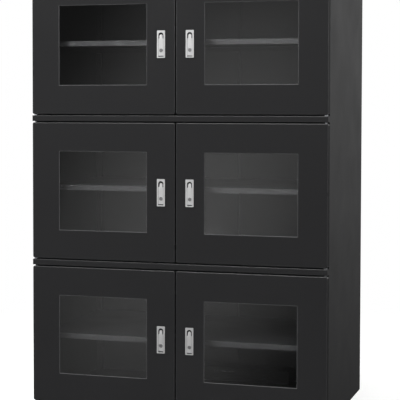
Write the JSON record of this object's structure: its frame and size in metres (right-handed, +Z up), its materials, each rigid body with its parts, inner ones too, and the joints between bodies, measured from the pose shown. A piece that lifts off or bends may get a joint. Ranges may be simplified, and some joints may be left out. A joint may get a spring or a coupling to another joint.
{
  "type": "electronic dry cabinet",
  "caption": "Tall steel dry cabinet on casters with rows of glazed, lockable doors, shelves, a drying unit and a humidity display.",
  "frame": {"origin": "on the floor, under the middle of the overall box", "axes": "+Z up, -Y out of the doors, +X to the right seen from the front"},
  "size_m": [1.2, 0.7268, 1.91],
  "materials": {
    "body_coat": "fine-textured black powder coat that carries away static",
    "door_coat": "fine-textured black powder coat that carries away static",
    "inner_coat": "smooth satin black powder coat",
    "shelf_coat": "smooth satin black powder coat",
    "dryer_coat": "matt black powder coat",
    "window_glass": "clear toughened glass with ground edges",
    "satin_chrome": "satin chrome plating on die-cast zinc",
    "zinc_steel": "bright zinc plating on pressed steel",
    "gasket_rubber": "soft matt black rubber",
    "display_plastic": "black moulded plastic",
    "button_plastic": "grey moulded plastic",
    "inlet_plastic": "black moulded plastic",
    "grey_tread": "grey moulded rubber"
  },
  "bodies": {
    "cabinet": {"side_panel_left": "body_coat", "side_panel_right": "body_coat", "back_panel": "body_coat", "top_panel": "body_coat", "liner_panels": "inner_coat", "base_frame": "inner_coat", "front_rails": "body_coat", "header_fascia": "body_coat", "centre_post": "inner_coat", "shelves": "shelf_coat", "shelf_uprights": "inner_coat", "shelf_clips": "zinc_steel", "door_gaskets": "gasket_rubber", "hinge_pins": "zinc_steel", "caster_mounts": "zinc_steel", "drying_unit": "dryer_coat", "humidity_display": "display_plastic", "power_inlet": "inlet_plastic"},
    "up_button": {"button_up": "button_plastic"},
    "down_button": {"button_down": "button_plastic"},
    "door_low_left": {"door_low_left_panel": "door_coat", "door_low_left_glass": "window_glass", "door_low_left_handle_housing": "satin_chrome"},
    "lever_low_left": {"door_low_left_lever": "satin_chrome"},
    "lock_low_left": {"door_low_left_lock": "zinc_steel"},
    "door_low_right": {"door_low_right_panel": "door_coat", "door_low_right_glass": "window_glass", "door_low_right_handle_housing": "satin_chrome"},
    "lever_low_right": {"door_low_right_lever": "satin_chrome"},
    "lock_low_right": {"door_low_right_lock": "zinc_steel"},
    "door_mid_left": {"door_mid_left_panel": "door_coat", "door_mid_left_glass": "window_glass", "door_mid_left_handle_housing": "satin_chrome"},
    "lever_mid_left": {"door_mid_left_lever": "satin_chrome"},
    "lock_mid_left": {"door_mid_left_lock": "zinc_steel"},
    "door_mid_right": {"door_mid_right_panel": "door_coat", "door_mid_right_glass": "window_glass", "door_mid_right_handle_housing": "satin_chrome"},
    "lever_mid_right": {"door_mid_right_lever": "satin_chrome"},
    "lock_mid_right": {"door_mid_right_lock": "zinc_steel"},
    "door_top_left": {"door_top_left_panel": "door_coat", "door_top_left_glass": "window_glass", "door_top_left_handle_housing": "satin_chrome"},
    "lever_top_left": {"door_top_left_lever": "satin_chrome"},
    "lock_top_left": {"door_top_left_lock": "zinc_steel"},
    "door_top_right": {"door_top_right_panel": "door_coat", "door_top_right_glass": "window_glass", "door_top_right_handle_housing": "satin_chrome"},
    "lever_top_right": {"door_top_right_lever": "satin_chrome"},
    "lock_top_right": {"door_top_right_lock": "zinc_steel"},
    "fork_front_left": {"caster_front_left_fork": "zinc_steel"},
    "wheel_front_left": {"caster_front_left_wheel": "grey_tread"},
    "brake_front_left": {"caster_front_left_brake": "zinc_steel"},
    "fork_front_right": {"caster_front_right_fork": "zinc_steel"},
    "wheel_front_right": {"caster_front_right_wheel": "grey_tread"},
    "brake_front_right": {"caster_front_right_brake": "zinc_steel"},
    "fork_back_left": {"caster_back_left_fork": "zinc_steel"},
    "wheel_back_left": {"caster_back_left_wheel": "grey_tread"},
    "fork_back_right": {"caster_back_right_fork": "zinc_steel"},
    "wheel_back_right": {"caster_back_right_wheel": "grey_tread"}
  },
  "joints": [
    {"name": "door_low_left_hinge", "type": "hinge", "parent": "cabinet", "child": "door_low_left", "pos_m": [-0.59, -0.34855, 0.125], "axis": [0, 0, -1], "range_deg": [0, 115]},
    {"name": "door_low_left_lever_pivot", "type": "hinge", "parent": "door_low_left", "child": "lever_low_left", "pos_m": [-0.05825, -0.35705, 0.3555], "axis": [1, 0, 0], "range_deg": [0, 35], "stiffness_Nm_per_rad": 0.08, "springref_deg": -8.59},
    {"name": "door_low_left_key_turn", "type": "hinge", "parent": "door_low_left", "child": "lock_low_left", "pos_m": [-0.05825, -0.36055, 0.372], "axis": [0, -1, 0], "range_deg": [0, 90]},
    {"name": "door_low_right_hinge", "type": "hinge", "parent": "cabinet", "child": "door_low_right", "pos_m": [0.59, -0.34855, 0.125], "axis": [0, 0, 1], "range_deg": [0, 115]},
    {"name": "door_low_right_lever_pivot", "type": "hinge", "parent": "door_low_right", "child": "lever_low_right", "pos_m": [0.05825, -0.35705, 0.3555], "axis": [1, 0, 0], "range_deg": [0, 35], "stiffness_Nm_per_rad": 0.08, "springref_deg": -8.59},
    {"name": "door_low_right_key_turn", "type": "hinge", "parent": "door_low_right", "child": "lock_low_right", "pos_m": [0.05825, -0.36055, 0.372], "axis": [0, 1, 0], "range_deg": [0, 90]},
    {"name": "door_mid_left_hinge", "type": "hinge", "parent": "cabinet", "child": "door_mid_left", "pos_m": [-0.59, -0.34855, 0.7], "axis": [0, 0, -1], "range_deg": [0, 115]},
    {"name": "door_mid_left_lever_pivot", "type": "hinge", "parent": "door_mid_left", "child": "lever_mid_left", "pos_m": [-0.05825, -0.35705, 0.9305], "axis": [1, 0, 0], "range_deg": [0, 35], "stiffness_Nm_per_rad": 0.08, "springref_deg": -8.59},
    {"name": "door_mid_left_key_turn", "type": "hinge", "parent": "door_mid_left", "child": "lock_mid_left", "pos_m": [-0.05825, -0.36055, 0.947], "axis": [0, -1, 0], "range_deg": [0, 90]},
    {"name": "door_mid_right_hinge", "type": "hinge", "parent": "cabinet", "child": "door_mid_right", "pos_m": [0.59, -0.34855, 0.7], "axis": [0, 0, 1], "range_deg": [0, 115]},
    {"name": "door_mid_right_lever_pivot", "type": "hinge", "parent": "door_mid_right", "child": "lever_mid_right", "pos_m": [0.05825, -0.35705, 0.9305], "axis": [1, 0, 0], "range_deg": [0, 35], "stiffness_Nm_per_rad": 0.08, "springref_deg": -8.59},
    {"name": "door_mid_right_key_turn", "type": "hinge", "parent": "door_mid_right", "child": "lock_mid_right", "pos_m": [0.05825, -0.36055, 0.947], "axis": [0, 1, 0], "range_deg": [0, 90]},
    {"name": "door_top_left_hinge", "type": "hinge", "parent": "cabinet", "child": "door_top_left", "pos_m": [-0.59, -0.34855, 1.275], "axis": [0, 0, -1], "range_deg": [0, 115]},
    {"name": "door_top_left_lever_pivot", "type": "hinge", "parent": "door_top_left", "child": "lever_top_left", "pos_m": [-0.05825, -0.35705, 1.5055], "axis": [1, 0, 0], "range_deg": [0, 35], "stiffness_Nm_per_rad": 0.08, "springref_deg": -8.59},
    {"name": "door_top_left_key_turn", "type": "hinge", "parent": "door_top_left", "child": "lock_top_left", "pos_m": [-0.05825, -0.36055, 1.522], "axis": [0, -1, 0], "range_deg": [0, 90]},
    {"name": "door_top_right_hinge", "type": "hinge", "parent": "cabinet", "child": "door_top_right", "pos_m": [0.59, -0.34855, 1.275], "axis": [0, 0, 1], "range_deg": [0, 115]},
    {"name": "door_top_right_lever_pivot", "type": "hinge", "parent": "door_top_right", "child": "lever_top_right", "pos_m": [0.05825, -0.35705, 1.5055], "axis": [1, 0, 0], "range_deg": [0, 35], "stiffness_Nm_per_rad": 0.08, "springref_deg": -8.59},
    {"name": "door_top_right_key_turn", "type": "hinge", "parent": "door_top_right", "child": "lock_top_right", "pos_m": [0.05825, -0.36055, 1.522], "axis": [0, 1, 0], "range_deg": [0, 90]},
    {"name": "button_up_press", "type": "slide", "parent": "cabinet", "child": "up_button", "axis": [0, 1, 0], "range_m": [0, 0.001], "stiffness_N_per_m": 200, "springref_m": -0.001},
    {"name": "button_down_press", "type": "slide", "parent": "cabinet", "child": "down_button", "axis": [0, 1, 0], "range_m": [0, 0.001], "stiffness_N_per_m": 200, "springref_m": -0.001},
    {"name": "caster_front_left_swivel", "type": "hinge", "parent": "cabinet", "child": "fork_front_left", "pos_m": [-0.538, -0.27555, 0.09], "axis": [0, 0, 1], "continuous": true},
    {"name": "caster_front_left_roll", "type": "hinge", "parent": "fork_front_left", "child": "wheel_front_left", "pos_m": [-0.538, -0.30355, 0.0375], "axis": [1, 0, 0], "continuous": true},
    {"name": "caster_front_left_brake_pedal", "type": "hinge", "parent": "fork_front_left", "child": "brake_front_left", "pos_m": [-0.538, -0.3328, 0.07236], "axis": [1, 0, 0], "range_deg": [0, 16]},
    {"name": "caster_front_right_swivel", "type": "hinge", "parent": "cabinet", "child": "fork_front_right", "pos_m": [0.538, -0.27555, 0.09], "axis": [0, 0, 1], "continuous": true},
    {"name": "caster_front_right_roll", "type": "hinge", "parent": "fork_front_right", "child": "wheel_front_right", "pos_m": [0.538, -0.30355, 0.0375], "axis": [1, 0, 0], "continuous": true},
    {"name": "caster_front_right_brake_pedal", "type": "hinge", "parent": "fork_front_right", "child": "brake_front_right", "pos_m": [0.538, -0.3328, 0.07236], "axis": [1, 0, 0], "range_deg": [0, 16]},
    {"name": "caster_back_left_swivel", "type": "hinge", "parent": "cabinet", "child": "fork_back_left", "pos_m": [-0.538, 0.26445, 0.09], "axis": [0, 0, 1], "continuous": true},
    {"name": "caster_back_left_roll", "type": "hinge", "parent": "fork_back_left", "child": "wheel_back_left", "pos_m": [-0.538, 0.29245, 0.0375], "axis": [1, 0, 0], "continuous": true},
    {"name": "caster_back_right_swivel", "type": "hinge", "parent": "cabinet", "child": "fork_back_right", "pos_m": [0.538, 0.26445, 0.09], "axis": [0, 0, 1], "continuous": true},
    {"name": "caster_back_right_roll", "type": "hinge", "parent": "fork_back_right", "child": "wheel_back_right", "pos_m": [0.538, 0.29245, 0.0375], "axis": [1, 0, 0], "continuous": true}
  ]
}
